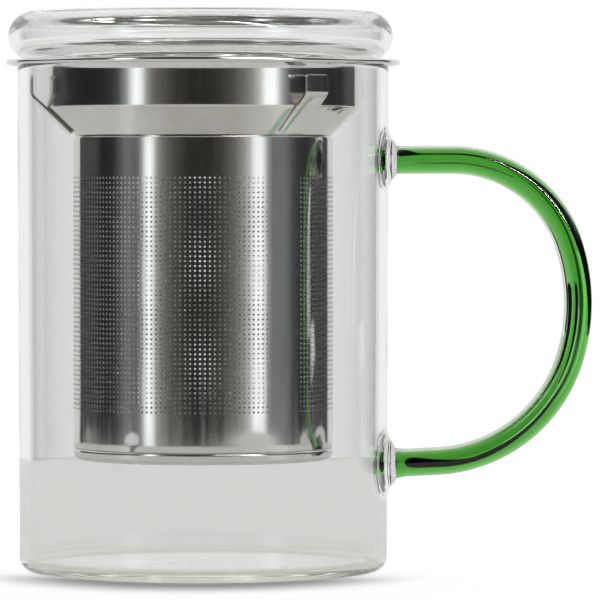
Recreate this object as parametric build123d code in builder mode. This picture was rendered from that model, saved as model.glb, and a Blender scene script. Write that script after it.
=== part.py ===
from build123d import *
import math
import os

# A lidded glass tea mug with a lift-out steel infuser. Millimetres and degrees.
# The origin is the centre of the circle the mug stands on: +Z up, +X towards the handle, -Y the front.
# Headings round the axis are counted from the front towards the handle.

# Mug: a glass tube that widens a little to its rim, closed by a thin floor
mug_height = 109.8
rim_radius = 40.2  # outside
foot_radius = 39.8  # outside
mug_wall = 2.3
mug_floor = 2.1
foot_corner = 3.0  # outside corner between wall and floor
inner_corner = 1.2
rim_round = 1.1

# Handle: a solid glass rod bent into a C, its ends fused to the wall through two clear roots
rod_radius = 3.0
handle_lift = 1.6  # the C's middle lies this far above the mug's
upper_run = 12.0  # straight rod beyond the upper root
crown_radius, crown_turn = 26.4, 72.0
grip_radius, grip_turn = 41.0, 35.0
heel_radius, heel_turn = 31.6, 70.0
root_length = 2.0  # from the wall to the end of the rod
root_radius = 4.7  # where a root meets the wall
root_flare = 3.0  # radius of the hollow curve from the rod out to the wall
root_sink = 1.2  # a root's blank runs this far into the wall before it is cut back to it
fused_gap = 0.02  # between pieces of glass that are fused

# Infuser neck: one drawn sheet, from the rolled edge of its flange down to a short skirt
neck_sheet = 0.5
rim_gap = 0.1  # between the flange and the mug's rim
flange_overhang = 1.95  # middle of the rolled edge, beyond the mug's rim
rolled_edge = 0.55  # radius of the rolled edge
collar_clearance = 3.85  # between the collar and the mug's inside
collar_height = 9.45
cone_step = 6.3  # the 45 degree cone narrows by this much
skirt_height = 3.0
flange_fillet = 1.6
cone_fillet = 0.8  # between collar and cone
skirt_fillet = 0.5  # between cone and skirt

# Perforated wall: a rolled sheet, closed by a lap seam
wall_sheet = 0.35
lap_gap = 0.05  # between sheets that overlap
hole_radius = 0.25
hole_pitch = 4.12  # every fourth hole of the real sheet, both ways
holes_above_base = 11.2
holes_below_neck = 8.85
seam_heading = 42.3
seam_width = 5.0

# Base: a shallow pan, its skirt pushed up into the wall
infuser_depth = 85.6  # from the flange to the underside of the base
pan_sheet = 0.4
pan_corner = 1.8
pan_band = 2.7  # height of the pan below the wall's lower edge
pan_skirt = 2.6
pan_bend = 0.5
base_margin = 4.2  # plain ring round the base's holes

# Centring tabs: bent strips spot-welded to the cone, which keep the infuser in the mug's middle
tab_count = 3
tab_heading = 43.6  # of the first tab
tab_width = 5.9
tab_sheet = 0.6
tab_clearance = 0.45  # between a tab and the mug's inside
tab_seat = 0.05  # between a tab and the cone
tab_foot = 0.9  # height of a tab's foot above the cone's lower end
tab_below_flange = 2.7
tab_bend = 1.2
tab_corner = 0.8

# Lid: hollow glass, flat on top, with a full-round edge and an open neck below
lid_thickness = 10.7
lid_wall = 2.2
lid_overhang = 1.45  # beyond the mug's rim
lid_shift = 0.55  # the loose lid lies this far towards -X
lid_gap = 0.1  # between the lid and the flange
neck_clearance = 0.75  # between the lid's neck and the collar
neck_depth = 6.2
neck_fillet = 1.4
neck_rim_round = 1.0

# Levels and radii that follow from those above
full_round_limit = 0.48  # most of a wall's thickness that one of its two edge roundings may take
rim_rounding = min(rim_round, full_round_limit * mug_wall)
mug_inner_radius = rim_radius - mug_wall
flange_bottom = mug_height + rim_gap
flange_top = flange_bottom + neck_sheet
edge_middle_radius = rim_radius + flange_overhang
collar_radius = mug_inner_radius - collar_clearance
cone_top = flange_bottom - collar_height
cone_bottom = cone_top - cone_step
skirt_radius = collar_radius - cone_step
wall_inner_radius = skirt_radius + lap_gap
wall_radius = wall_inner_radius + wall_sheet
base_bottom = flange_bottom - infuser_depth
wall_bottom = base_bottom + pan_band
wall_top = cone_bottom - skirt_fillet / 2 - lap_gap
lid_radius = rim_radius + lid_overhang
lid_bottom = flange_top + lid_gap
lid_top = lid_bottom + lid_thickness
lid_edge_round = lid_thickness / 2
neck_radius = collar_radius - neck_sheet - neck_clearance


def mug_radius_at(height):
    """Outside radius of the tapered mug at a height."""
    return foot_radius + (rim_radius - foot_radius) * height / mug_height


def outward(heading):
    """Level direction away from the axis at a heading."""
    angle = math.radians(heading)
    return Vector(math.sin(angle), -math.cos(angle), 0)


def save(part, name):
    part.label = name
    export_step(part, f"parts/{name}.step")


os.makedirs("parts", exist_ok=True)

# ---------------------------------------------------------------- mug body
with BuildPart() as mug_body:
    with BuildSketch(Plane.XZ):
        with BuildLine():
            FilletPolyline(
                (0, 0),
                (foot_radius, 0),
                (rim_radius, mug_height),
                (mug_inner_radius, mug_height),
                (foot_radius - mug_wall, mug_floor),
                (0, mug_floor),
                radius=[foot_corner, rim_rounding, rim_rounding, inner_corner],
            )
            Line((0, mug_floor), (0, 0))
        make_face()
    revolve(axis=Axis.Z)
save(mug_body.part, "mug_body")

# ---------------------------------------------------------------- handle
crown_end, grip_end = crown_turn, crown_turn + grip_turn
heel_end = grip_end + heel_turn


def drop(radius, start, end):
    """How far an arc of the handle falls between two directions, counted down from level."""
    return radius * (math.cos(math.radians(start)) - math.cos(math.radians(end)))


handle_drop = (
    drop(crown_radius, 0, crown_end)
    + drop(grip_radius, crown_end, grip_end)
    + drop(heel_radius, grip_end, heel_end)
)
upper_height = mug_height / 2 + handle_lift + handle_drop / 2
lower_height = upper_height - handle_drop
upper_start = mug_radius_at(upper_height) + root_length
lower_end = mug_radius_at(lower_height) + root_length

with BuildPart() as handle:
    with BuildLine(Plane.XZ) as rod_path:
        run = Line((upper_start, upper_height), (upper_start + upper_run, upper_height))
        crown = JernArc(run @ 1, run % 1, crown_radius, -crown_turn)
        grip = JernArc(crown @ 1, crown % 1, grip_radius, -grip_turn)
        heel = JernArc(grip @ 1, grip % 1, heel_radius, -heel_turn)
        slope = heel % 1
        Line(heel @ 1, heel @ 1 + slope * ((lower_end - (heel @ 1).X) / slope.X))
    with BuildSketch(Plane(rod_path.line @ 0, z_dir=rod_path.line % 0)):
        Circle(rod_radius)
    sweep()
save(handle.part, "handle")

# ---------------------------------------------------------------- handle roots
with BuildPart() as wall_cutter:
    with BuildSketch(Plane.XZ):
        with BuildLine():
            Polyline((0, 0), (foot_radius + fused_gap, 0), (rim_radius + fused_gap, mug_height),
                     (0, mug_height), close=True)
        make_face()
    revolve(axis=Axis.Z)

root_places = {
    "handle_root_upper": (rod_path.line @ 0, rod_path.line % 0 * -1),
    "handle_root_lower": (rod_path.line @ 1, rod_path.line % 1),
}
for root_name, (rod_end, towards_wall) in root_places.items():
    root_plane = Plane(rod_end, x_dir=towards_wall, z_dir=(0, 1, 0))
    with BuildPart() as root:
        with BuildSketch(root_plane):
            with BuildLine():
                flare = RadiusArc((fused_gap, rod_radius), (root_length, root_radius), -root_flare)
                Polyline(
                    flare @ 1,
                    (root_length + root_sink, root_radius),
                    (root_length + root_sink, 0),
                    (fused_gap, 0),
                    flare @ 0,
                )
            make_face()
        revolve(axis=Axis(rod_end, towards_wall))
        add(wall_cutter.part, mode=Mode.SUBTRACT)
    save(root.part, root_name)

# ---------------------------------------------------------------- infuser neck
with BuildPart() as infuser_neck:
    with BuildSketch(Plane.XZ):
        with BuildLine():
            FilletPolyline(
                (skirt_radius, cone_bottom - skirt_height),
                (skirt_radius, cone_bottom),
                (collar_radius, cone_top),
                (collar_radius, flange_bottom),
                (edge_middle_radius, flange_bottom),
                radius=[skirt_fillet, cone_fillet, flange_fillet],
            )
            offset(amount=neck_sheet, side=Side.LEFT)
        make_face()
        with Locations((edge_middle_radius, (flange_bottom + flange_top) / 2)):
            Circle(rolled_edge)
    revolve(axis=Axis.Z)
save(infuser_neck.part, "infuser_neck")

# ---------------------------------------------------------------- infuser wall
hole_zone_bottom = base_bottom + holes_above_base
hole_zone_height = cone_bottom - holes_below_neck - hole_zone_bottom
hole_rows = int(hole_zone_height / hole_pitch) + 1
plain_turn = math.degrees((seam_width + hole_pitch) / wall_radius)  # turn taken by the seam, without holes
hole_columns = int((360 - plain_turn) / math.degrees(hole_pitch / wall_radius)) + 1
column_turn = (360 - plain_turn) / (hole_columns - 1)
row_pitch = hole_zone_height / (hole_rows - 1)
hole_cutter = 4 * wall_sheet  # centred on the wall's outside, so half of it reaches in

hole_places = []
for column in range(hole_columns):
    direction = outward(seam_heading + plain_turn / 2 + column * column_turn)
    for row in range(hole_rows):
        centre = direction * wall_radius + Vector(0, 0, hole_zone_bottom + row * row_pitch)
        hole_places.append(Plane(centre, z_dir=direction).location)

lap_turn = math.degrees(seam_width / wall_radius)
lap_bottom = wall_bottom + pan_skirt + pan_sheet
lap_top = cone_bottom - skirt_height - pan_sheet

with BuildPart() as infuser_wall:
    with BuildSketch(Plane.XY.offset(wall_bottom)):
        Circle(wall_radius)
        Circle(wall_inner_radius, mode=Mode.SUBTRACT)
    extrude(amount=wall_top - wall_bottom)
    with BuildSketch(Plane.XY.offset(lap_bottom)):
        with BuildLine():
            lap_start = seam_heading - 90 - lap_turn / 2
            outer_arc = CenterArc((0, 0), wall_inner_radius, lap_start, lap_turn)
            inner_arc = CenterArc((0, 0), wall_inner_radius - wall_sheet, lap_start, lap_turn)
            Line(outer_arc @ 0, inner_arc @ 0)
            Line(outer_arc @ 1, inner_arc @ 1)
        make_face()
    extrude(amount=lap_top - lap_bottom)
    with Locations(*hole_places):
        Cylinder(hole_radius, hole_cutter, mode=Mode.SUBTRACT)
save(infuser_wall.part, "infuser_wall")

# ---------------------------------------------------------------- infuser base
joggle = wall_radius - skirt_radius
base_reach = wall_radius - base_margin
base_steps = int(base_reach / hole_pitch)
base_holes = [
    (x * hole_pitch, y * hole_pitch)
    for x in range(-base_steps, base_steps + 1)
    for y in range(-base_steps, base_steps + 1)
    if math.hypot(x, y) * hole_pitch <= base_reach
]

with BuildPart() as infuser_base:
    with BuildSketch(Plane.XZ):
        with BuildLine():
            FilletPolyline(
                (0, base_bottom),
                (wall_radius, base_bottom),
                (wall_radius, wall_bottom - lap_gap - joggle),
                (skirt_radius, wall_bottom - lap_gap),
                (skirt_radius, wall_bottom + pan_skirt),
                radius=[pan_corner, pan_bend, pan_bend / 2],
            )
            offset(amount=pan_sheet, side=Side.LEFT)
        make_face()
    revolve(axis=Axis.Z)
    with BuildSketch(Plane.XY.offset(base_bottom)):
        with Locations(*base_holes):
            Circle(hole_radius)
    extrude(amount=pan_sheet, mode=Mode.SUBTRACT)
save(infuser_base.part, "infuser_base")

# ---------------------------------------------------------------- centring tabs
tab_top = flange_bottom - tab_below_flange
tab_outer_radius = mug_radius_at(tab_top) - mug_wall - tab_clearance
tab_inner_radius = tab_outer_radius - tab_sheet
tab_lean = tab_seat * math.sqrt(2)  # the seat's gap, measured level
tab_bend_height = cone_bottom + tab_inner_radius - skirt_radius - tab_lean

for index in range(tab_count):
    radial = outward(tab_heading + index * 360 / tab_count)
    with BuildPart() as tab:
        with BuildSketch(Plane((0, 0, 0), x_dir=radial, z_dir=radial.cross(Vector(0, 0, 1)))):
            with BuildLine():
                FilletPolyline(
                    (skirt_radius + tab_foot + tab_lean, cone_bottom + tab_foot),
                    (tab_inner_radius, tab_bend_height),
                    (tab_inner_radius, tab_top),
                    radius=[tab_bend],
                )
                offset(amount=tab_sheet, side=Side.RIGHT)
            make_face()
        extrude(amount=tab_width / 2, both=True)
        top_face = tab.faces().sort_by(Axis.Z)[-1]
        fillet(top_face.edges().filter_by(Axis((0, 0, 0), radial)), tab_corner)
    save(tab.part, f"centring_tab_{index + 1}")

# ---------------------------------------------------------------- lid
lid_plane = Plane((-lid_shift, 0, 0), x_dir=(1, 0, 0), z_dir=(0, -1, 0))
with BuildPart() as lid:
    with BuildSketch(lid_plane):
        with BuildLine():
            plate = Line((0, lid_top), (lid_radius - lid_edge_round, lid_top))
            edge = JernArc(plate @ 1, plate % 1, lid_edge_round, -180)
            FilletPolyline(
                edge @ 1,
                (neck_radius, lid_bottom),
                (neck_radius, lid_bottom - neck_depth),
                radius=[neck_fillet],
            )
            offset(amount=lid_wall, side=Side.RIGHT)
        make_face()
    revolve(axis=Axis((-lid_shift, 0, 0), (0, 0, 1)))
    fillet(lid.edges().group_by(Axis.Z)[0], min(neck_rim_round, full_round_limit * lid_wall))
save(lid.part, "lid")
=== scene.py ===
import bpy
import math
import numpy as np
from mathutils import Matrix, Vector
from mathutils.geometry import delaunay_2d_cdt


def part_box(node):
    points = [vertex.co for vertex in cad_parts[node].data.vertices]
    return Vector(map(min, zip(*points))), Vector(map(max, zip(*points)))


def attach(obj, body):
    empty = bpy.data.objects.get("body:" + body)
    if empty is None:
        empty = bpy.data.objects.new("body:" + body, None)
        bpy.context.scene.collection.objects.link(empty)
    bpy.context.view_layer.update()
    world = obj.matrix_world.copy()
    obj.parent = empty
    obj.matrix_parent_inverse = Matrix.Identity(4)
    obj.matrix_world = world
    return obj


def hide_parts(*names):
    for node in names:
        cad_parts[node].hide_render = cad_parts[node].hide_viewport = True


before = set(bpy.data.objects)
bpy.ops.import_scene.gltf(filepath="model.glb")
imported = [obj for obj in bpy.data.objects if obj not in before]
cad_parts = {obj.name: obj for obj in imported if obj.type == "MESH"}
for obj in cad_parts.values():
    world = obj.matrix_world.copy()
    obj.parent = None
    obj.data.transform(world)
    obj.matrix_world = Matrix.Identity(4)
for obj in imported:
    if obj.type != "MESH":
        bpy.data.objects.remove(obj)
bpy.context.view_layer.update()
mm = 0.001
print("frame loaded:", len(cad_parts), "nodes")

# What the frame says of the main levels and radii, in millimetres
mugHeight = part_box("mug_body")[1].z / mm
neckBox = [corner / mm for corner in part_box("infuser_neck")]
wallBox = [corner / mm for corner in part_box("infuser_wall")]
baseBox = [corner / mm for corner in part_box("infuser_base")]
lidBox = [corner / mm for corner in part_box("lid")]


# Shader trees: a wire is one output socket, and arithmetic on wires adds Math nodes
class Wire:
    def __init__(self, shop, socket):
        self.shop, self.socket = shop, socket

    def math(self, operation, *others):
        sockets = dict(enumerate((self, *others)))
        return self.shop.add("ShaderNodeMath", {"operation": operation}, sockets)

    def __add__(self, b):
        return self.math("ADD", b)

    def __mul__(self, b):
        return self.math("MULTIPLY", b)

    def __truediv__(self, b):
        return self.math("DIVIDE", b)

    def __rsub__(self, b):
        return (self * -1.0) + b

    def smooth(self, low, high, fromValue=0.0, toValue=1.0):  # eases from one value to the other
        return self.shop.add("ShaderNodeMapRange", {"interpolation_type": "SMOOTHSTEP"}, {
            "Value": self, "From Min": low, "From Max": high, "To Min": fromValue, "To Max": toValue})

    def between(self, low, high, soft):  # 1 inside the band, 0 outside
        return self.smooth(low - soft, low + soft) * self.smooth(high - soft, high + soft, 1.0, 0.0)


class Shop:
    def __init__(self, owner):
        owner.use_nodes = True
        self.tree = owner.node_tree
        self.tree.nodes.clear()

    def add(self, kind, settings=None, sockets=None, out=0):
        node = self.tree.nodes.new(kind)
        for name, value in (settings or {}).items():
            if name == "stops":
                self.setStops(node.color_ramp, value)
            else:
                setattr(node, name, value)
        for name, value in (sockets or {}).items():
            if isinstance(value, Wire):
                self.tree.links.new(value.socket, node.inputs[name])
            else:
                node.inputs[name].default_value = value
        return Wire(self, node.outputs[out]) if len(node.outputs) else None

    def setStops(self, ramp, stops):
        while len(ramp.elements) < len(stops):
            ramp.elements.new(1.0)
        for element, (place, colour) in zip(ramp.elements, stops):
            element.position, element.color = place, (*colour, 1)

    def mix(self, factor, a, b):  # colours a to b
        a, b = (value if isinstance(value, Wire) else (*value, 1) for value in (a, b))
        return self.add("ShaderNodeMix", {"data_type": "RGBA"}, {0: factor, 6: a, 7: b}, out=2)

    def objectPlace(self):
        return self.add("ShaderNodeTexCoord", out="Object")

    def length(self, place):
        return self.add("ShaderNodeVectorMath", {"operation": "LENGTH"}, {0: place}, out="Value")

    def scaled(self, place, factors):
        return self.add("ShaderNodeVectorMath", {"operation": "MULTIPLY"}, {0: place, 1: factors})

    def bump(self, height, distance, under=None):  # a height as a tilt, over another if given
        sockets = {"Strength": 1.0, "Distance": distance, "Height": height}
        if under is not None:
            sockets["Normal"] = under
        return self.add("ShaderNodeBump", {}, sockets)

    def blend(self, factor, a, b):  # shaders a to b
        return self.add("ShaderNodeMixShader", {}, {0: factor, 1: a, 2: b})

    def noise(self, place, scale, detail, stretch=(1, 1, 1)):
        spread = self.add("ShaderNodeMapping", {}, {"Vector": place, "Scale": stretch})
        return self.add("ShaderNodeTexNoise", {}, {"Vector": spread, "Scale": scale, "Detail": detail})


def inScene(name, data):
    thing = bpy.data.objects.new(name, data)
    bpy.context.scene.collection.objects.link(thing)
    return thing


def newFinish(name):
    finish = bpy.data.materials.new(name)
    return finish, Shop(finish)


# Finishes
glassLook = dict(
    index=1.474, waveSize=55.0, waveDepth=0.00003, waveRoughness=0.01, tint=(0.987, 0.990, 0.984),
    tintDeep=(0.977, 0.981, 0.972), footTint=(0.91, 0.94, 0.80), footTop=0.0036, footRing=(0.033, 0.0375),
    rippleSize=700.0, rippleStretch=(1.4, 1.0, 0.5),
)


def clearGlass(name="clearGlass", ripple=0.0, frost=0.0, straight=0.0, calm=1.0):
    # pale borosilicate: slow waves in the surface, and a straw tint low in the foot, where light runs along
    # the floor; frost adds roughness, and straight is the share of light that isn't bent
    finish, shop = newFinish(name)
    look = glassLook
    place = shop.objectPlace()
    waves = shop.noise(place, look["waveSize"], 1.0)
    tint = shop.mix(waves, look["tint"], look["tintDeep"])
    height = shop.add("ShaderNodeSeparateXYZ", {}, {0: place}, out=2)
    foot = height.smooth(0.0, look["footTop"], 1.0, 0.0) * shop.length(place).smooth(*look["footRing"])
    tint = shop.mix(foot, tint, look["footTint"])
    bump = shop.bump(waves, look["waveDepth"] * calm)
    if ripple:  # worked soft in the flame
        bump = shop.bump(shop.noise(place, look["rippleSize"], 1.0, look["rippleStretch"]), ripple, bump)
    glass = glassShader(shop, look, tint, waves, bump, frost)
    if straight:
        glass = shop.blend(straight, glass, shop.add("ShaderNodeBsdfTransparent"))
    closeFused(shop, glass)
    return finish


def glassShader(shop, look, tint, waves, bump, frost=0.0):
    return shop.add("ShaderNodeBsdfPrincipled", {}, {
        "Base Color": tint, "Roughness": waves * look["waveRoughness"] + frost, "IOR": look["index"],
        "Transmission Weight": 1.0, "Normal": bump})


def closeFused(shop, glass):
    # faces marked fused lie inside a melted joint, so light crosses them as if they weren't there
    fused = shop.add("ShaderNodeAttribute", {"attribute_name": "fused"}, out="Fac")
    surface = shop.blend(fused, glass, shop.add("ShaderNodeBsdfTransparent"))
    shop.add("ShaderNodeOutputMaterial", {}, {"Surface": surface})


rodLook = dict(
    index=1.49, absorb=(0.246, 0.721, 0.071, 1), density=930.0, waveSize=90.0, waveDepth=0.00004,
    waveRoughness=0.01, casing=(0.90, 0.975, 0.88), casingDeep=(0.87, 0.965, 0.85),
)


def casingGlass():
    # the clear skin over the rod's green core
    finish, shop = newFinish("casingGlass")
    look = rodLook
    waves = shop.noise(shop.objectPlace(), look["waveSize"], 1.0)
    tint = shop.mix(waves, look["casing"], look["casingDeep"])
    closeFused(shop, glassShader(shop, look, tint, waves, shop.bump(waves, look["waveDepth"])))
    return finish


def greenGlass():
    # coloured through its whole depth, so a longer way through it gives a deeper green; it bends light as its
    # casing does, so its surface shows nothing
    finish, shop = newFinish("greenGlass")
    look = rodLook
    surface = shop.add("ShaderNodeBsdfTransparent")
    depth = shop.add("ShaderNodeVolumeAbsorption", {}, {"Color": look["absorb"], "Density": look["density"]})
    shop.add("ShaderNodeOutputMaterial", {}, {"Surface": surface, "Volume": depth})
    return finish


steelLook = dict(
    bright=(0.78, 0.765, 0.74), dull=(0.67, 0.655, 0.635), streakSize=900.0, streakStretch=(1.0, 1.0, 0.02),
    streakDepth=0.0000012, streakShare=0.6, patchSize=120.0, wornSpan=(0.3, 0.7), roughness=(0.06, 0.13),
    satin=0.5, satinColour=(0.95, 0.945, 0.93), satinSoft=0.0001, dentSize=45.0, dentDepth=0.00003,
)


def steel(name, coarse=1.0, satinWithin=None):
    # rolled stainless sheet: fine streaks along the rolling, a few duller patches, and a slow unevenness
    finish, shop = newFinish(name)
    look = steelLook
    place = shop.objectPlace()
    streaks = shop.noise(place, look["streakSize"], 3.0, look["streakStretch"])
    patches = shop.noise(place, look["patchSize"], 3.0)
    dents = shop.noise(place, look["dentSize"], 0.0)
    colour = shop.mix(patches, look["bright"], look["dull"])
    worn = streaks * look["streakShare"] + patches * (1 - look["streakShare"])
    rough = worn.smooth(*look["wornSpan"], *(level * coarse for level in look["roughness"]))
    if satinWithin:  # the sheet's inner side is left satin: it lies within this distance of the axis
        fromAxis = shop.length(shop.scaled(place, (1, 1, 0)))
        satin = fromAxis.smooth(satinWithin - look["satinSoft"], satinWithin, 1.0, 0.0)
        rough = rough + satin * look["satin"]
        colour = shop.mix(satin, colour, look["satinColour"])
    bump = shop.bump(dents, look["dentDepth"], shop.bump(streaks, look["streakDepth"]))
    metal = shop.add("ShaderNodeBsdfPrincipled", {}, {
        "Base Color": colour, "Roughness": rough, "Metallic": 1.0, "Normal": bump})
    shop.add("ShaderNodeOutputMaterial", {}, {"Surface": metal})
    return finish


# Surfaces
def bandOf(lower, upper):
    # quads between two closed loops of points, or between two lists of loops
    return np.stack([lower, np.roll(lower, -1, -1), np.roll(upper, -1, -1), upper], -1)


def netOf(grid):
    # quads between a grid's points
    return np.stack([grid[:-1, :-1], grid[:-1, 1:], grid[1:, 1:], grid[1:, :-1]], -1)


class Skin:
    # gathers points and faces as whole arrays, then makes one mesh of them
    def __init__(self):
        self.points, self.normals, self.faces, self.count = [], [], [], 0

    def put(self, points, normals=None):  # returns the points' numbers, in their layout
        points = np.asarray(points, float)
        flat = points.reshape(-1, 3)
        numbers = self.count + np.arange(len(flat)).reshape(points.shape[:-1])
        self.points.append(flat)
        if normals is not None:
            self.normals.append(normals.reshape(-1, 3))
        self.count += len(flat)
        return numbers

    def cover(self, faces, flat=False, fused=False):
        faces = np.asarray(faces)
        self.faces.append((faces.reshape(-1, faces.shape[-1]), flat, fused))

    def band(self, lower, upper, **marks):
        self.cover(bandOf(lower, upper), **marks)

    def sleeve(self, rows, **marks):  # from each row's loop to the next one's
        self.band(rows[:-1], rows[1:], **marks)

    def fan(self, loop, hub, **marks):
        self.cover(np.stack([loop, np.roll(loop, -1), np.full_like(loop, hub)], -1), **marks)

    def cap(self, rows, hubs, **marks):  # closes the first and the last loop with a fan each
        hubs = self.put(hubs)
        self.fan(rows[0][::-1], hubs[0], **marks)
        self.fan(rows[-1], hubs[1], **marks)

    def holed(self, corners, hole, side):
        # a square cell round an eight-sided hole: every corner gets a triangle, and every side a quad
        lead, follow = hole[:, ::2], hole[:, 1::2]
        self.cover(np.stack([corners, follow, lead], -1)[..., ::side])
        onward = np.roll(corners, -1, 1)
        self.cover(np.stack([corners, onward, np.roll(lead, -1, 1), follow], -1)[..., ::side])

    def make(self, name, finish, body, slot, nodes):
        mesh = bpy.data.meshes.new(name)
        points = np.concatenate(self.points) * mm
        loops = np.concatenate([faces.ravel() for faces, _, _ in self.faces])
        sizes = np.concatenate([np.full(len(faces), faces.shape[1]) for faces, _, _ in self.faces])
        mesh.vertices.add(len(points))
        mesh.vertices.foreach_set("co", points.astype(np.float32).ravel())
        mesh.loops.add(len(loops))
        mesh.loops.foreach_set("vertex_index", loops.astype(np.int32))
        mesh.polygons.add(len(sizes))
        mesh.polygons.foreach_set("loop_start", (np.cumsum(sizes) - sizes).astype(np.int32))
        mesh.update(calc_edges=True)
        marks = [np.tile([[flat, fused]], (len(faces), 1)) for faces, flat, fused in self.faces]
        flat, fused = np.concatenate(marks).T.copy()
        mesh.attributes.new("sharp_face", "BOOLEAN", "FACE").data.foreach_set("value", flat)
        if fused.any():
            mesh.attributes.new("fused", "FLOAT", "FACE").data.foreach_set("value", fused.astype(np.float32))
        loose = mesh.validate()
        if self.normals:  # worked out with the surface, for smooth faces; flat ones keep their own
            corners = np.concatenate(self.normals)[loops]
            own = np.zeros(len(sizes) * 3, np.float32)
            mesh.polygons.foreach_get("normal", own)
            flatCorner = np.repeat(flat, sizes)
            corners[flatCorner] = np.repeat(own.reshape(-1, 3), sizes, axis=0)[flatCorner]
            mesh.normals_split_custom_set(corners.tolist())
        mesh.materials.append(finish)
        piece = inScene(name, mesh)
        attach(piece, body)
        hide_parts(*nodes)
        triangles = int((sizes - 2).sum())
        print(f"{name}: {triangles} triangles" + (", mended" if loose else ""))


octagon = np.radians(22.5 + 45 * np.arange(8))  # where a small hole's corners lie round its middle


def turnsOf(count):
    return np.arange(count) * 2 * math.pi / count


def circleOf(angles):
    return np.stack([np.cos(angles), np.sin(angles)], -1)


def travel(places):
    # how far along a path each of its points lies
    return np.concatenate([[0], np.cumsum(np.linalg.norm(np.diff(places, axis=0), axis=1))])


def outline(corners, rounds, step=1.0, arcSteps=8):
    # straight runs joined by arcs: an arc starts its radius times the tangent of half the turn before its
    # corner, and runs about the centre that lies square to the run there
    corners = np.array(corners, float)
    made, last = [], corners[0]
    for before, corner, after, radius in zip(corners[:-2], corners[1:-1], corners[2:], rounds):
        along, onward = ((b - a) / np.linalg.norm(b - a) for a, b in ((before, corner), (corner, after)))
        turn = math.atan2(along[0] * onward[1] - along[1] * onward[0], along @ onward)
        start = corner - along * radius * math.tan(abs(turn) / 2)
        centre = start + np.array([-along[1], along[0]]) * math.copysign(radius, turn)
        made.append(runOf(last, start, step))
        angles = np.linspace(0, turn, arcSteps + 1)[:, None]
        spoke = start - centre
        arc = centre + spoke * np.cos(angles) + np.array([-spoke[1], spoke[0]]) * np.sin(angles)
        made.append(arc[:-1])
        last = arc[-1]
    made.append(runOf(last, corners[-1], step))
    made.append(corners[-1:])
    return np.concatenate(made)


def runOf(start, end, step):
    # even points from start up to, but without, end; none where the two fall together
    length = np.linalg.norm(end - start)
    if length < 1e-6:
        return np.zeros((0, 2))
    count = math.ceil(length / step)
    return start + (end - start) * (np.arange(count)[:, None] / count)


def around(outlineOfSide, columns, middle=0.0):
    # each outline point carried round the axis: x and y are its radius times cosine and sine, z its height
    angle = turnsOf(columns)
    radius, height = outlineOfSide[:, :1], outlineOfSide[:, 1:]
    x, y = middle + radius * np.cos(angle), radius * np.sin(angle)
    return np.stack([x, y, np.broadcast_to(height, x.shape)], -1)


def turnedPiece(profile, columns, middle=0.0, shape=None, closed=False):
    # the skin of a turned shape; a profile that starts and ends on the axis gets a pole at each end
    skin = Skin()
    points = around(profile if closed else profile[1:-1], columns, middle)
    rows = skin.put(points if shape is None else shape(points))
    skin.sleeve(rows)
    if closed:
        skin.band(rows[-1], rows[0])
    else:
        skin.cap(rows, [[middle, 0, profile[0][1]], [middle, 0, profile[-1][1]]])
    return skin


# Mug body and the two places where the wall was drawn out to meet the handle
mug = dict(
    rimRadius=40.2, footRadius=39.8, wall=2.3, floor=2.1, footCorner=3.0, innerCorner=1.2, rimRound=1.1,
    columns=288, step=1.0, rings=9, blockHalf=8.6, pullReach=7.8, easing=2.2, fusedGap=0.02, beadSteps=12,
)
# coreOff: how far outwards the green core lies off the rod's middle at three shares of its length; flare: the
# reach and the power of the lower end's spread
rod = dict(
    radius=3.0, core=0.62, coreOff=((0.0, 0.22, 0.42), (-0.16, -0.1, 0.25)), lift=1.6, upperRun=12.0,
    rootLength=2.0, columns=96, bends=((26.4, 72.0), (41.0, 35.0), (31.6, 70.0)), upperPoints=13,
    lowerPoints=12, flare=(0.9, 1.5),
)
upperRoot = dict(
    name="handleRootUpper", node="handle_root_upper", pull=0.85, radius=4.4, endRadius=3.0, bulge=0.16)
lowerRoot = dict(
    name="handleRootLower", node="handle_root_lower", pull=0.95, radius=4.9, endRadius=3.35, bulge=0.2)


def mugRadiusAt(height):
    return mug["footRadius"] + (mug["rimRadius"] - mug["footRadius"]) * height / mugHeight


def rodPath():
    # level run, three arcs and a short straight end: each point has a place and the way the rod runs, as an
    # angle below level, and an arc's point is its radius times the change in sine and cosine of that angle
    angle, drop = 0.0, 0.0
    for radius, turn in rod["bends"]:
        drop += radius * (math.cos(math.radians(angle)) - math.cos(math.radians(angle + turn)))
        angle += turn
    upper = mugHeight / 2 + rod["lift"] + drop / 2
    start = np.array([mugRadiusAt(upper) + rod["rootLength"], upper])
    share = np.linspace(0, 1, rod["upperPoints"], endpoint=False)
    places = [start + np.outer(share, [rod["upperRun"], 0])]
    ways = [np.zeros(len(share))]
    corner, angle = start + [rod["upperRun"], 0], 0.0
    for radius, turn in rod["bends"]:
        way = np.radians(np.linspace(angle, angle + turn, int(turn) + 1))
        arc = corner + radius * np.stack([np.sin(way) - math.sin(way[0]), np.cos(way) - math.cos(way[0])], 1)
        places.append(arc[:-1])
        ways.append(way[:-1])
        corner, angle = arc[-1], angle + turn
    last = math.radians(angle)
    lowerEnd = mugRadiusAt(corner[1]) + rod["rootLength"]
    run = (corner[0] - lowerEnd) / -math.cos(last)
    share = np.linspace(0, 1, rod["lowerPoints"])
    places.append(corner + np.outer(share * run, [math.cos(last), -math.sin(last)]))
    ways.append(np.full(len(share), last))
    return np.concatenate(places), np.concatenate(ways)


def ringAt(place, way, radius, angles):
    # a circle square to the rod: across it runs +Y, and up it the rod's own upward side
    up = np.stack([np.sin(way), np.zeros_like(way), np.cos(way)], -1)
    across = np.array([0.0, 1.0, 0.0])
    middle = np.stack([place[..., 0], np.zeros_like(way), place[..., 1]], -1)
    radius = np.asarray(radius)[..., None, None]
    return middle[..., None, :] + radius * (
        np.cos(angles)[:, None] * across + np.sin(angles)[:, None] * up[..., None, :])


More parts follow.
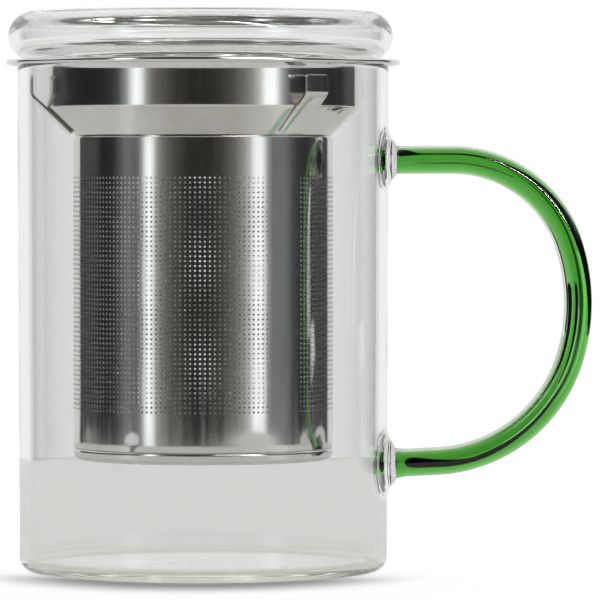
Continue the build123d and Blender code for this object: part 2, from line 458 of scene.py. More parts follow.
def drawnWall(skin, rows, heights, centreHeight, root):
    # a square of the wall is taken out and filled with rings that ease from the square's edge to circles;
    # inside the pull's reach the wall stands out by the pull times the square of how far in the ring lies
    columns, half, pullReach = mug["columns"], mug["blockHalf"], mug["pullReach"]
    low, high = (int(np.argmin(abs(heights - level))) for level in (centreHeight - half, centreHeight + half))
    side = round(half / (2 * math.pi * mug["rimRadius"] / columns))
    right, up, left, down = (np.arange(-side, side), np.arange(low, high), np.arange(side, -side, -1),
                             np.arange(high, low, -1))
    rowOf = np.concatenate([np.full(len(right), low), up, np.full(len(left), high), down])
    columnOf = np.concatenate([right, np.full(len(up), side), left, np.full(len(down), -side)])
    edge = rows[rowOf, columnOf % columns]
    sideways = columnOf * 2 * math.pi / columns * mugRadiusAt(centreHeight)
    upwards = heights[rowOf] - centreHeight
    angles = np.arctan2(upwards, sideways)
    share = np.linspace(0, 1, mug["rings"] + 1)[1:, None]
    reach = pullReach + (root["radius"] - pullReach) * share
    ease = np.clip(share * mug["easing"], 0, 1)
    s = (1 - ease) * sideways + ease * reach * np.cos(angles)
    z = (1 - ease) * upwards + ease * reach * np.sin(angles)
    inward = np.clip((pullReach - np.hypot(s, z)) / (pullReach - root["radius"]), 0, 1)
    radius = mugRadiusAt(centreHeight + z) + root["pull"] * inward ** 2
    turn = s / mugRadiusAt(centreHeight)
    points = np.stack([radius * np.cos(turn), radius * np.sin(turn), centreHeight + z], -1)
    rings = skin.put(points)
    skin.band(edge, rings[0])
    skin.sleeve(rings)
    hubPoint = points[-1].mean(0)
    skin.fan(rings[-1], skin.put(hubPoint), fused=True, flat=True)
    return (low, high, side), points[-1], hubPoint, angles


def buildRoot(root, base, hub, angles, endPlace, endWay):
    # from the ring on the wall to the ring at the rod's end, with a bead's slight swell between the two
    skin = Skin()
    gap = np.array([mug["fusedGap"], 0, 0])
    upright = endWay if abs(endWay) < 1 else endWay - math.pi  # the lower end runs back to the wall
    end = ringAt(endPlace, np.array(upright), root["endRadius"], angles) - gap
    share = np.linspace(0, 1, mug["beadSteps"] + 1)[:, None, None]
    centre = end.mean(0)
    outwards = (end - centre) / np.linalg.norm(end - centre, axis=-1, keepdims=True)
    rings = (base + gap) * (1 - share) + end * share + outwards * root["bulge"] * np.sin(share * math.pi)
    rows = skin.put(rings)
    skin.sleeve(rows)
    skin.cap(rows, [hub + gap, centre], fused=True, flat=True)
    return skin


def buildMug(glass, workedGlass, casing, green):
    corners = [(0, 0), (mug["footRadius"], 0), (mug["rimRadius"], mugHeight),
               (mug["rimRadius"] - mug["wall"], mugHeight), (mug["footRadius"] - mug["wall"], mug["floor"]),
               (0, mug["floor"])]
    rounds = [mug["footCorner"], mug["rimRound"], mug["rimRound"], mug["innerCorner"]]
    profile = outline(corners, rounds, mug["step"])
    skin = Skin()
    ring = profile[1:-1]
    rows = skin.put(around(ring, mug["columns"]))
    outside = ring[:, 0] > mug["footRadius"] - 0.01
    heights = np.where(outside, ring[:, 1], -math.inf)  # only the outside's points may be picked by height
    places, ways = rodPath()
    keep = np.ones((len(ring) - 1, mug["columns"]), bool)
    roots = []
    for root, index in ((upperRoot, 0), (lowerRoot, -1)):
        (low, high, side), base, hub, angles = drawnWall(skin, rows, heights, places[index][1], root)
        keep[low:high, np.arange(-side, side) % mug["columns"]] = False
        roots.append(buildRoot(root, base, hub, angles, places[index], ways[index]))
    skin.cover(bandOf(rows[:-1], rows[1:])[keep])
    skin.cap(rows, [[0, 0, profile[0][1]], [0, 0, profile[-1][1]]])
    skin.make("mugBody", glass, "mug", "clear_glass", ["mug_body"])
    for root, rootSkin in zip((upperRoot, lowerRoot), roots):
        rootSkin.make(root["name"], workedGlass, "mug", "clear_glass", [root["node"]])
    buildRod(casing, green, places, ways)


def buildRod(casing, green, places, ways):
    # circles along the path, which spread a little at the lower end, where it was pressed soft into its root;
    # the green core in the clear casing is a thinner run of circles that wanders off the rod's middle
    angles = turnsOf(rod["columns"])
    travelled = travel(places)
    fromEnd = travelled[-1] - travelled
    reach, power = rod["flare"]
    radius = rod["radius"] + (lowerRoot["endRadius"] - rod["radius"]) * np.exp(-(fromEnd / reach) ** power)
    outwards = np.stack([np.sin(ways), np.cos(ways)], 1)
    wander = np.interp(travelled / travelled[-1], *rod["coreOff"])[:, None]
    layers = (("handle", casing, 1.0, 0.0), ("handleCore", green, rod["core"], wander))
    for name, finish, share, off in layers:
        skin = Skin()
        rings = ringAt(places + outwards * off, ways, radius * share, angles)
        rows = skin.put(rings)
        skin.sleeve(rows)
        skin.cap(rows, [rings[0].mean(0), rings[-1].mean(0)], fused=True, flat=True)
        skin.make(name, finish, "mug", "green_glass", ["handle"])


# Lid: flat top, full-round edge, and an open neck that hangs inside the collar
lid = dict(
    thickness=10.7, wall=2.2, ceiling=1.1, neckRadius=32.8, neckDepth=6.2, neckFillet=1.4, rimRound=1.0,
    hollowRound=2.0, columns=288, step=0.9, arcSteps=12, waver=0.02, waverFrom=1.0, waverOver=4.0,
    # each wave: its share of the height, its runs round the axis, its turn from axis to edge, its start
    waves=((0.6, 2, 0, 1.1), (0.4, 5, 0, 0.4), (0.5, 1, 9, 0.0)),
)


def buildLid(glass):
    bottom = lidBox[1].z - lid["thickness"]
    top = lidBox[1].z
    middle = (lidBox[0].x + lidBox[1].x) / 2
    radius = (lidBox[1].x - lidBox[0].x) / 2
    edge = lid["thickness"] / 2 - 0.01  # just short of half, so that the two arcs don't quite meet
    wall, foot = lid["wall"], bottom - lid["neckDepth"]
    ceiling, hollow, mouth = top - lid["ceiling"], radius - wall, lid["neckRadius"] - wall
    corners = [(0, ceiling), (hollow, ceiling), (hollow, bottom + wall), (mouth, bottom + wall),
               (mouth, foot), (lid["neckRadius"], foot), (lid["neckRadius"], bottom), (radius, bottom),
               (radius, top), (0, top)]
    rounds = [lid["hollowRound"], edge - wall, lid["neckFillet"] + wall, lid["rimRound"], lid["rimRound"],
              lid["neckFillet"], edge, edge]
    profile = outline(corners, rounds, lid["step"], lid["arcSteps"])
    inner = int(np.argmax(profile[:, 1] <= foot + 1e-6))

    def waver(points):
        # the blown hollow is uneven: its skin rises and falls by a few slow waves
        angle = np.arctan2(points[..., 1], points[..., 0] - middle)
        across = np.hypot(points[..., 1], points[..., 0] - middle) / radius
        wave = sum(share * np.sin(times * angle + turn * across + start)
                   for share, times, turn, start in lid["waves"])
        fade = np.clip((points[..., 2] - bottom - lid["waverFrom"]) / lid["waverOver"], 0, 1)
        fade *= np.clip(across * 3, 0, 1)  # still in the middle, full from a third of the way out
        fade[inner:] = 0
        points[..., 2] += lid["waver"] * wave * fade
        return points

    skin = turnedPiece(profile, lid["columns"], middle, waver)
    skin.make("lid", glass, "lid", "clear_glass", ["lid"])


# Infuser neck: one drawn sheet from its rolled edge down to the skirt
neck = dict(
    sheet=0.5, edgeRadius=0.55, collarRadius=34.05, collarHeight=9.45, coneStep=6.3, skirtHeight=3.0,
    flangeFillet=1.6, coneFillet=0.8, skirtFillet=0.5, flangeStop=0.4, rollTurn=145, rollPoints=20,
    columns=240,
)


def leftOf(line):
    # at each of a line's points, a unit step square to it, to its left
    way = np.gradient(line, axis=0)
    way /= np.linalg.norm(way, axis=1, keepdims=True)
    return np.stack([-way[:, 1], way[:, 0]], 1)


def sheetProfile(corners, rounds, sheet, step=0.8, arcSteps=6):
    # both faces of a bent sheet: the second runs a sheet's thickness to the left of the first
    line = outline(corners, rounds, step, arcSteps)
    return line, line + sheet * leftOf(line)


def buildNeck(metal):
    top = neckBox[1].z - (neck["edgeRadius"] - neck["sheet"] / 2)
    bottom = top - neck["sheet"]
    edgeMiddle = neckBox[1].x - neck["edgeRadius"]
    coneTop = bottom - neck["collarHeight"]
    coneBottom = coneTop - neck["coneStep"]
    skirt = neck["collarRadius"] - neck["coneStep"]
    outer, inner = sheetProfile(
        [(skirt, coneBottom - neck["skirtHeight"]), (skirt, coneBottom), (neck["collarRadius"], coneTop),
         (neck["collarRadius"], bottom), (edgeMiddle - neck["flangeStop"], bottom)],
        [neck["skirtFillet"], neck["coneFillet"], neck["flangeFillet"]], neck["sheet"])
    angles = np.radians(np.linspace(-neck["rollTurn"], neck["rollTurn"], neck["rollPoints"]))
    rolled = [edgeMiddle, (top + bottom) / 2] + neck["edgeRadius"] * circleOf(angles)
    profile = np.concatenate([outer, rolled, inner[::-1]])
    skin = turnedPiece(profile, neck["columns"], closed=True)
    skin.make("infuserNeck", metal, "infuser", "polished_steel", ["infuser_neck"])


# Perforated wall: a rolled sheet with round holes, plain along its seam and at both ends
wall = dict(
    radius=28.15, sheet=0.35, holeRadius=0.25, firstHeading=51.58, columnTurn=2.134, holeColumns=161,
    seamColumns=8, holeBottom=35.5, rowPitch=1.0375, holeRows=49, plainStep=0.4, plainGap=0.2, tuckDepth=0.08,
    tuckHeight=1.4, satinRadius=27.9,
)
# dents where the base is welded in: heading and spread in degrees, depth, middle height and half height
weldDents = ((-56.0, 6.5, 0.12, 0.0, 5.0), (-27.5, 2.2, 0.18, 1.4, 1.5), (26.2, 9.0, 0.16, 0.2, 2.6),
             (55.7, 4.0, 0.15, 0.4, 2.6), (98.0, 5.0, 0.14, 0.6, 2.8), (140.0, 4.0, 0.15, 1.0, 2.6),
             (182.0, 6.0, 0.16, 0.6, 2.8), (224.0, 4.0, 0.13, 0.6, 2.8), (266.0, 5.0, 0.15, 0.6, 2.8))


def wallShape(radius, angle, height):
    # the sheet curls in by the square of how far below the curl's start a point lies, and each weld's dent
    # adds a round hollow: its depth times two bell curves, one round the axis and one up it
    heading = np.degrees(angle) + 90
    above = height - wallBox[0].z
    inwards = wall["tuckDepth"] * np.clip(1 - above / wall["tuckHeight"], 0, 1) ** 2
    for weld, spread, depth, middle, tall in weldDents:
        aside = ((heading - weld + 180) % 360 - 180) / spread
        inwards = inwards + depth * np.exp(-aside ** 2 - ((above - middle) / tall) ** 2)
    return radius - inwards


def wallPoints(radius, turn, height):
    # places on the sheet, and the normals there: square to the surface's slopes round the axis and up it
    far = wallShape(radius, turn, height)
    small = 1e-3  # how far to each side the slopes are taken
    slopeUp = wallShape(radius, turn, height + small) - wallShape(radius, turn, height - small)
    slopeUp /= 2 * small
    slopeRound = wallShape(radius, turn + small, height) - wallShape(radius, turn - small, height)
    slopeRound /= 2 * small * far
    cos, sin = np.cos(turn), np.sin(turn)
    normals = np.stack([cos + sin * slopeRound, sin - cos * slopeRound, -slopeUp], -1)
    normals /= np.linalg.norm(normals, axis=-1, keepdims=True)
    if radius < wall["radius"]:
        normals = -normals
    return np.stack([far * cos, far * sin, height], -1), normals


def buildWall(metal):
    columnTurn, columns = wall["columnTurn"], wall["holeColumns"]
    pitch, count = wall["rowPitch"], wall["holeRows"]
    headings = wall["firstHeading"] - columnTurn / 2 + np.arange(columns + 1) * columnTurn
    seamTurn = 360 - columnTurn * columns
    seam = headings[-1] + np.arange(1, wall["seamColumns"]) * seamTurn / wall["seamColumns"]
    angles = np.radians(np.concatenate([headings, seam]) - 90)
    holed = wall["holeBottom"] - pitch / 2 + np.arange(count + 1) * pitch
    below = np.arange(wallBox[0].z, holed[0] - wall["plainGap"], wall["plainStep"])
    above = wallBox[1].z - np.arange(0, wallBox[1].z - holed[-1] - wall["plainGap"], wall["plainStep"])[::-1]
    heights = np.concatenate([below, holed, above])
    cut = len(below) + count // 2
    wallPart("infuserWallLower", metal, angles, heights[:cut + 1], len(below), count // 2)
    wallPart("infuserWallUpper", metal, angles, heights[cut:], 0, count - count // 2)


def wallPart(name, metal, angles, heights, firstHoled, holedRows):
    # a band of the sheet, outside and inside, with each hole's own short wall through the sheet
    skin = Skin()
    turn, height = np.meshgrid(angles, heights)
    faces, holes = [], []
    count = np.arange(wall["holeColumns"])
    level = firstHoled + np.arange(holedRows)
    cellRow, cellColumn = (grid.ravel() for grid in np.meshgrid(level, count, indexing="ij"))
    for radius in (wall["radius"], wall["radius"] - wall["sheet"]):
        faces.append(skin.put(*wallPoints(radius, turn, height)))
        middleTurn = (angles[cellColumn] + angles[cellColumn + 1]) / 2
        middleHeight = (heights[cellRow] + heights[cellRow + 1]) / 2
        holeTurn = middleTurn[:, None] + wall["holeRadius"] * np.cos(octagon) / radius
        holeHeight = middleHeight[:, None] + wall["holeRadius"] * np.sin(octagon)
        holes.append(skin.put(*wallPoints(radius, holeTurn, holeHeight)))
    for grid, ring, side in ((faces[0], holes[0], 1), (faces[1], holes[1], -1)):
        quads = netOf(np.concatenate([grid, grid[:, :1]], 1))
        plain = np.ones(quads.shape[:2], bool)
        plain[firstHoled:firstHoled + holedRows, :wall["holeColumns"]] = False
        skin.cover(quads[plain][:, ::side])
        corners = quads[cellRow, cellColumn][:, [2, 3, 0, 1]]  # upper right first, as the hole's points run
        skin.holed(corners, ring, side)
    skin.band(*holes, flat=True)
    skin.band(faces[1][0], faces[0][0], flat=True)
    skin.band(faces[0][-1], faces[1][-1], flat=True)
    skin.make(name, metal, "infuser", "perforated_steel", ["infuser_wall"])


seamLap = dict(heading=42.3, width=5.0, gap=0.05, bottom=30.0, top=90.75, columns=10, rows=60)


def buildSeamLap(metal):
    # the sheet's inner end, lying behind the seam: a strip of a thinner cylinder
    skin = Skin()
    outerRadius = wall["radius"] - wall["sheet"] - seamLap["gap"]
    half = seamLap["width"] / wall["radius"] / 2
    middle = math.radians(seamLap["heading"] - 90)
    turn, height = np.meshgrid(np.linspace(middle - half, middle + half, seamLap["columns"]),
                               np.linspace(seamLap["bottom"], seamLap["top"], seamLap["rows"]))
    outer, inner = (skin.put(np.stack([r * np.cos(turn), r * np.sin(turn), height], -1))
                    for r in (outerRadius, outerRadius - wall["sheet"]))
    for grid, side in ((outer, 1), (inner, -1)):
        skin.cover(netOf(grid)[..., ::side])
    rim = [np.concatenate([g[0, :-1], g[:-1, -1], g[-1, :0:-1], g[:0:-1, 0]]) for g in (outer, inner)]
    skin.band(rim[1], rim[0], flat=True)
    skin.make("infuserSeamLap", metal, "infuser", "perforated_steel", ["infuser_wall"])


# Base: a shallow pan pushed up into the wall, its floor holed on a square grid
pan = dict(
    sheet=0.4, corner=1.8, band=2.7, skirt=2.6, bend=0.5, wallRadius=28.15, skirtRadius=27.75, lapGap=0.05,
    margin=4.2, pitch=1.03, holeRadius=0.25, columns=192, step=0.6,
)


def buildBase(metal):
    bottom = baseBox[0].z
    wallBottom = bottom + pan["band"]
    lap = wallBottom - pan["lapGap"]
    joggle = pan["wallRadius"] - pan["skirtRadius"]
    plainRadius = pan["wallRadius"] - pan["margin"] + pan["pitch"]
    outer, inner = sheetProfile(
        [(plainRadius, bottom), (pan["wallRadius"], bottom), (pan["wallRadius"], lap - joggle),
         (pan["skirtRadius"], lap), (pan["skirtRadius"], wallBottom + pan["skirt"])],
        [pan["corner"], pan["bend"], pan["bend"] / 2], pan["sheet"], pan["step"])
    skin = Skin()
    profile = np.concatenate([outer, inner[::-1]])
    rows = skin.put(around(profile, pan["columns"]))
    skin.sleeve(rows)
    # the holed field: square cells whose middles lie within reach, then a plain rim out to the turned part
    reach = pan["wallRadius"] - pan["margin"]
    steps = int(reach / pan["pitch"])
    line = np.arange(-steps, steps + 1) * pan["pitch"]
    cells = np.stack(np.meshgrid(line, line), -1).reshape(-1, 2)
    cells = cells[np.linalg.norm(cells, axis=1) <= reach]
    half = pan["pitch"] / 2
    corners = cells[:, None] + half * np.array([[1, 1], [-1, 1], [-1, -1], [1, -1]])
    keys = np.round(corners.reshape(-1, 2) / half).astype(int)
    unique, back = np.unique(keys, axis=0, return_inverse=True)
    back = back.reshape(-1, 4)
    edges = np.stack([back, np.roll(back, -1, 1)], -1).reshape(-1, 2)
    sortedEdges, times = np.unique(np.sort(edges, 1), axis=0, return_counts=True)
    border = sortedEdges[times == 1]
    borderPoints = np.unique(border)
    circle = plainRadius * circleOf(turnsOf(pan["columns"]))
    flatPoints = np.concatenate([unique[borderPoints] * half, circle])
    order = {int(p): i for i, p in enumerate(borderPoints)}
    first = len(borderPoints)
    borders = [(order[int(a)], order[int(b)]) for a, b in border]
    borders += [(first + i, first + (i + 1) % pan["columns"]) for i in range(pan["columns"])]
    # the triangles fill the circle, so those over the cells are left out again
    _, _, triangles, origins, _, _ = delaunay_2d_cdt([Vector(p) for p in flatPoints], borders, [], 0, 1e-5)
    triangles = np.array([[origins[v][0] for v in face] for face in triangles])
    cellAt = np.round(flatPoints[triangles].mean(1) / pan["pitch"]) * pan["pitch"]
    rimFaces = triangles[np.linalg.norm(cellAt, axis=1) > reach]
    holes = []
    for level, side, ringRow in ((bottom, -1, rows[0]), (bottom + pan["sheet"], 1, rows[-1])):
        grid = skin.put(np.insert(unique * half, 2, level, -1))
        mapped = np.concatenate([grid[borderPoints], ringRow])
        skin.cover(mapped[rimFaces][:, ::side])
        ring = cells[:, None] + pan["holeRadius"] * circleOf(octagon)
        hole = skin.put(np.insert(ring, 2, level, -1))
        skin.holed(grid[back], hole, side)
        holes.append(hole)
    skin.band(*holes[::-1], flat=True)
    skin.make("infuserBase", metal, "infuser", "perforated_steel", ["infuser_base"])


# Centring tabs: bent strips with rounded tops
tab = dict(
    count=3, heading=43.6, width=5.9, sheet=0.6, clearance=0.45, seat=0.05, foot=0.9, belowFlange=2.7,
    bend=1.2, corner=0.8, edge=0.14, step=0.25, arcSteps=10, rimGap=0.1,
)


def buildTabs(metal):
    flange = mugHeight + tab["rimGap"]
    coneBottom = flange - neck["collarHeight"] - neck["coneStep"]
    skirt = neck["collarRadius"] - neck["coneStep"]
    top = flange - tab["belowFlange"]
    innerRadius = mugRadiusAt(top) - mug["wall"] - tab["clearance"] - tab["sheet"]
    lean = tab["seat"] * math.sqrt(2)
    path = outline([(skirt + tab["foot"] + lean, coneBottom + tab["foot"]),
                    (innerRadius, coneBottom + innerRadius - skirt - lean), (innerRadius, top)],
                   [tab["bend"]], tab["step"], tab["arcSteps"])
    square = -leftOf(path)
    middle = path + square * tab["sheet"] / 2
    travelled = travel(path)
    left = np.clip(travelled[-1] - travelled, 0, tab["corner"])
    # the strip narrows over its last stretch as a quarter circle does
    halfWidth = tab["width"] / 2 - tab["corner"] + np.sqrt(tab["corner"] ** 2 - (tab["corner"] - left) ** 2)
    # a section is a flat oblong with its four corners rounded off
    quarter = np.linspace(0, math.pi / 2, 4)
    angles = np.concatenate([quarter + k * math.pi / 2 for k in range(4)])
    signX = np.repeat([1, -1, -1, 1], 4)
    signY = np.repeat([1, 1, -1, -1], 4)
    across = signX * (halfWidth[:, None] - tab["edge"]) + tab["edge"] * np.cos(angles)
    through = signY * (tab["sheet"] / 2 - tab["edge"]) + tab["edge"] * np.sin(angles)
    for index in range(tab["count"]):
        turn = math.radians(tab["heading"] + index * 360 / tab["count"] - 90)
        outwards = np.array([math.cos(turn), math.sin(turn)])
        sideways = np.array([-math.sin(turn), math.cos(turn)])
        radius = middle[:, :1] + through * square[:, :1]
        height = middle[:, 1:] + through * square[:, 1:]
        level = radius[..., None] * outwards + across[..., None] * sideways
        points = np.concatenate([level, height[..., None]], -1)[::-1]  # top first, so the faces look outwards
        skin = Skin()
        rows = skin.put(points)
        skin.sleeve(rows)
        skin.cap(rows, [points[0].mean(0), points[-1].mean(0)], flat=True)
        node = f"centring_tab_{index + 1}"
        skin.make(f"centringTab{index + 1}", metal, "infuser", "polished_steel", [node])


# Camera, floor and studio
camera = dict(
    lens=318.0, sensor=36.0, distance=1.150, height=0.088, turn=3.5, aimRight=0.021, aimHeight=0.0587,
)
floor = dict(
    radius=0.45, sides=96, height=-0.00005, white=(0.42, 0.42, 0.415), lift=0.47, tone=(1.0, 0.98, 0.955),
    shownWhite=0.35, shownLift=0.86, shadow=0.70, shadowReach=(0.040, 0.068), shadowFront=(0.006, 0.032),
    shadowStretch=(1.25, 1, 1),
)
# levels: the room's brightness by degrees from the camera, positive to its right. Boxes, room and middle are
# spans of such degrees and how soft their ends are. Names in Rise are spans of how far a direction runs
# upwards, topFront and tube of how far towards the camera, tubeAside of how far to its right; top is the
# brightness overhead, behind and in front
studio = dict(
    brightest=2.5, low=0.8, lowRise=(-0.16, -0.13), top=(0.95, 0.06), topRise=(0.24, 0.42),
    topFront=(-0.45, 0.2), boxes=((-55, -43, 2.5), (47, 57, 2.5)), boxRise=(0.3, 0.66, 0.05), boxLevel=3.5,
    tube=(0.6, 0.67, 0.006), tubeAside=(0.1, 0.3), tubeRise=(0.3, 0.5), tubeLevel=40.0,
    room=(-134, 134, 3), cold=(0.95, 1.0, 1.04), middle=(-38, 38, 12), warm=(1.03, 1.0, 0.9),
    levels=(
        (-180, 0.86), (-139.5, 0.86), (-136.5, 0.04), (-108, 0.028), (-88, 0.015), (-62, 0.04), (-58, 0.12),
        (-54, 0.45), (-51, 1.2), (-47, 1.7), (-43, 1.15), (-40.5, 0.45), (-36, 0.2), (-30, 0.12),
        (-18, 0.045), (-8, 0.026), (6, 0.028), (13, 0.044), (21, 0.08), (29, 0.17), (36, 0.32), (42, 0.65),
        (47, 1.5), (54, 1.5), (59, 0.4), (64, 0.06), (86, 0.045), (100, 0.03), (142, 0.03), (145, 0.86),
        (180, 0.86)),
)


def buildCamera():
    turn = math.radians(camera["turn"])
    toward, right = Vector((math.sin(turn), -math.cos(turn), 0)), Vector((math.cos(turn), math.sin(turn), 0))
    view = bpy.data.cameras.new("view")
    view.lens, view.sensor_width = camera["lens"], camera["sensor"]
    eye = inScene("view", view)
    aim = right * camera["aimRight"] + Vector((0, 0, camera["aimHeight"]))
    eye.location = toward * camera["distance"] + right * camera["aimRight"] + Vector((0, 0, camera["height"]))
    eye.rotation_euler = (aim - eye.location).to_track_quat("-Z", "Y").to_euler()
    bpy.context.scene.camera = eye
    return toward, right


def buildFloor():
    rim = np.insert(floor["radius"] * circleOf(turnsOf(floor["sides"])), 2, floor["height"], -1)
    mesh = bpy.data.meshes.new("floor")
    mesh.from_pydata(rim.tolist(), [], [tuple(range(floor["sides"]))])
    ground = inScene("floor", mesh)
    finish, shop = newFinish("paleFloor")
    # painted shadow: in front of the mug the floor's colour and glow are darkened, fading with the distance
    # from the axis; it deepens the real shadow that its diffuse part gets
    place = shop.objectPlace()
    forward = shop.add("ShaderNodeSeparateXYZ", {}, {0: place}, out=1) * -1.0
    away = shop.length(shop.scaled(place, floor["shadowStretch"]))
    dark = away.smooth(*floor["shadowReach"], floor["shadow"], 0.0)
    shade = 1.0 - dark * forward.smooth(*floor["shadowFront"])
    # the camera sees it paler than glass and steel do
    kinds = []
    for colour, lift, tint in (((*floor["white"], 1), floor["lift"], (*floor["tone"], 1)),
                               (shade * floor["shownWhite"], shade * floor["shownLift"], (1, 1, 1, 1))):
        plain = shop.add("ShaderNodeBsdfDiffuse", {}, {"Color": colour})
        glow = shop.add("ShaderNodeEmission", {}, {"Color": tint, "Strength": lift})
        kinds.append(shop.add("ShaderNodeAddShader", {}, {0: plain, 1: glow}))
    mixed = shop.blend(shop.add("ShaderNodeLightPath", out="Is Camera Ray"), *kinds)
    # from below the floor isn't there, so the underside can be looked at
    below = shop.add("ShaderNodeNewGeometry", out="Backfacing")
    mixed = shop.blend(below, mixed, shop.add("ShaderNodeBsdfTransparent"))
    shop.add("ShaderNodeOutputMaterial", {}, {"Surface": mixed})
    mesh.materials.append(finish)


# glowing cards behind the handle paint shade and light into its glass: a dark card is painted shade and a
# bright one painted light, seen through the rod; only light that came through glass meets them.
# Each has a brightness or a colour, then shares of the rod's length with how far outwards of the rod's middle
# its two edges lie there, in millimetres
shadeAndLightCards = dict(behind=8.0, points=60, edges=(
    (0.0, ((0.006, -2.9, -0.6), (0.018, -2.6, -0.65), (0.03, -1.5, -0.8), (0.045, -1.3, -0.95),
           (0.106, -1.3, -0.95), (0.16, -1.55, -1.05), (0.195, -1.75, -0.85), (0.26, -2.66, -0.88),
           (0.317, -3.9, -0.9), (0.365, -8.0, -1.3), (0.42, -15.0, -1.9), (0.484, -15.0, -2.4),
           (0.551, -15.0, -3.8))),
    (0.0, ((0.455, 0.1, 0.14), (0.464, -0.08, 0.36), (0.52, -0.06, 0.38), (0.603, 0.1, 0.32),
           (0.65, 0.2, 0.29))),
    (0.0, ((0.6, -0.85, -0.5), (0.65, -0.68, -0.32), (0.683, -0.55, -0.1), (0.76, -0.68, -0.05),
           (0.828, -0.98, 0.05), (0.862, -1.05, 0.0), (0.93, -0.74, 0.74), (0.95, -0.7, 1.0),
           (0.965, -0.7, 1.3), (0.976, -0.5, 1.3), (0.986, -0.2, 1.0), (0.99, 0.2, 0.6))),
    (0.0, ((0.455, 1.6, 2.0), (0.464, 1.05, 2.66), (0.603, 1.25, 2.1), (0.683, 1.94, 2.5), (0.76, 2.1, 2.45),
           (0.83, 2.6, 2.75))),
    (0.15, ((0.2, -0.62, -0.52), (0.3, -0.68, -0.4), (0.4, -0.8, -0.35), (0.484, -1.0, -0.32),
            (0.6, -0.92, -0.45))),
    (0.3, ((0.03, 0.45, 0.6), (0.08, 0.4, 0.75), (0.16, 0.25, 0.6), (0.22, 0.05, 0.2))),
    (0.86, ((0.3, 4.2, 14.0), (0.5, 4.2, 14.0), (0.56, 4.2, 12.0))),
    (0.86, ((0.553, -15.0, -4.5), (0.6, -15.0, -3.6), (0.68, -15.0, -3.6))),
    (1.5, ((0.4, -1.7, -1.2), (0.484, -2.2, -1.2), (0.6, -1.9, -1.3), (0.68, -1.2, -1.0))),
    ((9.0, 2.0, 16.0), ((0.5, -0.25, -0.21), (0.603, -0.16, -0.08), (0.683, 0.02, 0.11), (0.74, 0.06, 0.14),
                        (0.8, 0.1, 0.14))),
))


def buildShadeAndLightCards(places, ways):
    travelled = travel(places)
    outwards = np.stack([np.sin(ways), np.cos(ways)], 1)
    count = shadeAndLightCards["points"]
    for number, (level, card) in enumerate(shadeAndLightCards["edges"]):
        finish, shop = newFinish(f"paintedShadeLightCard{number}")
        colour = level if isinstance(level, tuple) else (level,) * 3
        # the card's glow is painted shade where its level is dark and painted light where it is bright
        glow = shop.add("ShaderNodeEmission", {}, {"Color": (*colour, 1)})
        shop.add("ShaderNodeOutputMaterial", {}, {"Surface": glow})
        shares, low, high = np.array(card).T
        share = np.linspace(shares[0], shares[-1], count)
        columns = (*places.T, *outwards.T)
        x, z, outX, outZ = (np.interp(share * travelled[-1], travelled, column) for column in columns)
        strips = []
        for edge in (low, high):
            out = np.interp(share, shares, edge)
            strips.append(np.stack([x + out * outX, 0 * out + shadeAndLightCards["behind"], z + out * outZ], 1))
        points = np.concatenate(strips) * mm
        quads = [(i, i + 1, i + count + 1, i + count) for i in range(count - 1)]
        mesh = bpy.data.meshes.new(f"card{number}")
        mesh.from_pydata(points.tolist(), [], quads)
        piece = inScene(f"card{number}", mesh)
        mesh.materials.append(finish)
        piece.visible_camera = piece.visible_glossy = piece.visible_diffuse = piece.visible_shadow = False


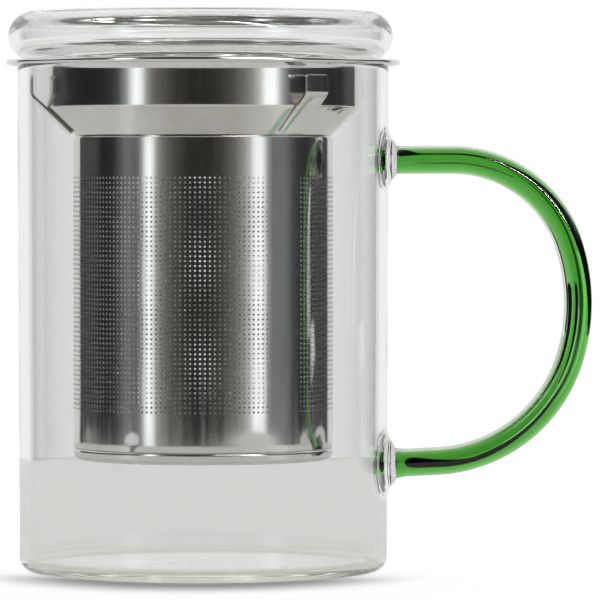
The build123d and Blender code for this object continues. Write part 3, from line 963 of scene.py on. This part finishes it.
def buildStudio(toward, right):
    # the world by direction: a bright backdrop behind, a dark room at the sides, two tall soft boxes beside
    # the camera and a broad light overhead; what the camera sees straight is white
    world = bpy.data.worlds.new("studio")
    bpy.context.scene.world = world
    shop = Shop(world)
    way = shop.add("ShaderNodeTexCoord", out="Generated")
    front = shop.add("ShaderNodeVectorMath", {"operation": "DOT_PRODUCT"}, {0: way, 1: toward}, out="Value")
    aside = shop.add("ShaderNodeVectorMath", {"operation": "DOT_PRODUCT"}, {0: way, 1: right}, out="Value")
    up = shop.add("ShaderNodeSeparateXYZ", {}, {0: way}, out=2)
    angle = aside.math("ARCTAN2", front) * (180 / math.pi)
    stops = [((degrees + 180) / 360, (level / studio["brightest"],) * 3)
             for degrees, level in studio["levels"]]
    room = shop.add("ShaderNodeValToRGB", {"stops": stops}, {"Fac": (angle + 180) / 360})
    room = room * studio["brightest"]
    leftBox, rightBox = (angle.between(*sides) for sides in studio["boxes"])
    hot = (leftBox + rightBox) * up.between(*studio["boxRise"]) * studio["boxLevel"]
    # a thin tube light, bent round the camera's right shoulder, that only shows in mirroring surfaces
    mirrors = shop.add("ShaderNodeLightPath", out="Is Glossy Ray")
    tube = front.between(*studio["tube"]) * aside.smooth(*studio["tubeAside"])
    tube = tube * up.smooth(*studio["tubeRise"]) * studio["tubeLevel"] * mirrors
    overhead = up.smooth(*studio["topRise"]) * front.smooth(*studio["topFront"], *studio["top"])
    level = room * up.smooth(*studio["topRise"], 1.0, 0.0) + overhead + hot + tube
    level = level * up.smooth(*studio["lowRise"]) + up.smooth(*studio["lowRise"], 1.0, 0.0) * studio["low"]
    tone = shop.mix(angle.between(*studio["room"]), (1, 1, 1), studio["cold"])
    tone = shop.mix(angle.between(*studio["middle"]), tone, studio["warm"])
    straight = shop.add("ShaderNodeLightPath", out="Is Camera Ray")
    strength = level * (1.0 - straight) + straight
    sky = shop.add("ShaderNodeBackground", {}, {
        "Color": shop.mix(straight, tone, (1, 1, 1)), "Strength": strength})
    shop.add("ShaderNodeOutputWorld", {}, {"Surface": sky})


scene = bpy.context.scene
scene.view_settings.view_transform = "Standard"
scene.cycles.max_bounces = 96
scene.cycles.transmission_bounces = 64
scene.cycles.glossy_bounces = 64
scene.cycles.transparent_max_bounces = 16
scene.cycles.diffuse_bounces = 4

toward, right = buildCamera()
buildFloor()
buildStudio(toward, right)
buildShadeAndLightCards(*rodPath())
print("camera, floor and studio made")
collarSteel = steel("drawnSteel")
sheetSteel = steel("perforatedSteel", coarse=1.1, satinWithin=wall["satinRadius"] * mm)
workedGlass = clearGlass("workedGlass", ripple=0.0002, frost=0.08, straight=0.7)
buildMug(clearGlass(), workedGlass, casingGlass(), greenGlass())
buildLid(clearGlass("lidGlass", calm=0.3))
buildNeck(collarSteel)
buildWall(sheetSteel)
buildSeamLap(sheetSteel)
buildBase(sheetSteel)
buildTabs(collarSteel)
print("pieces made")
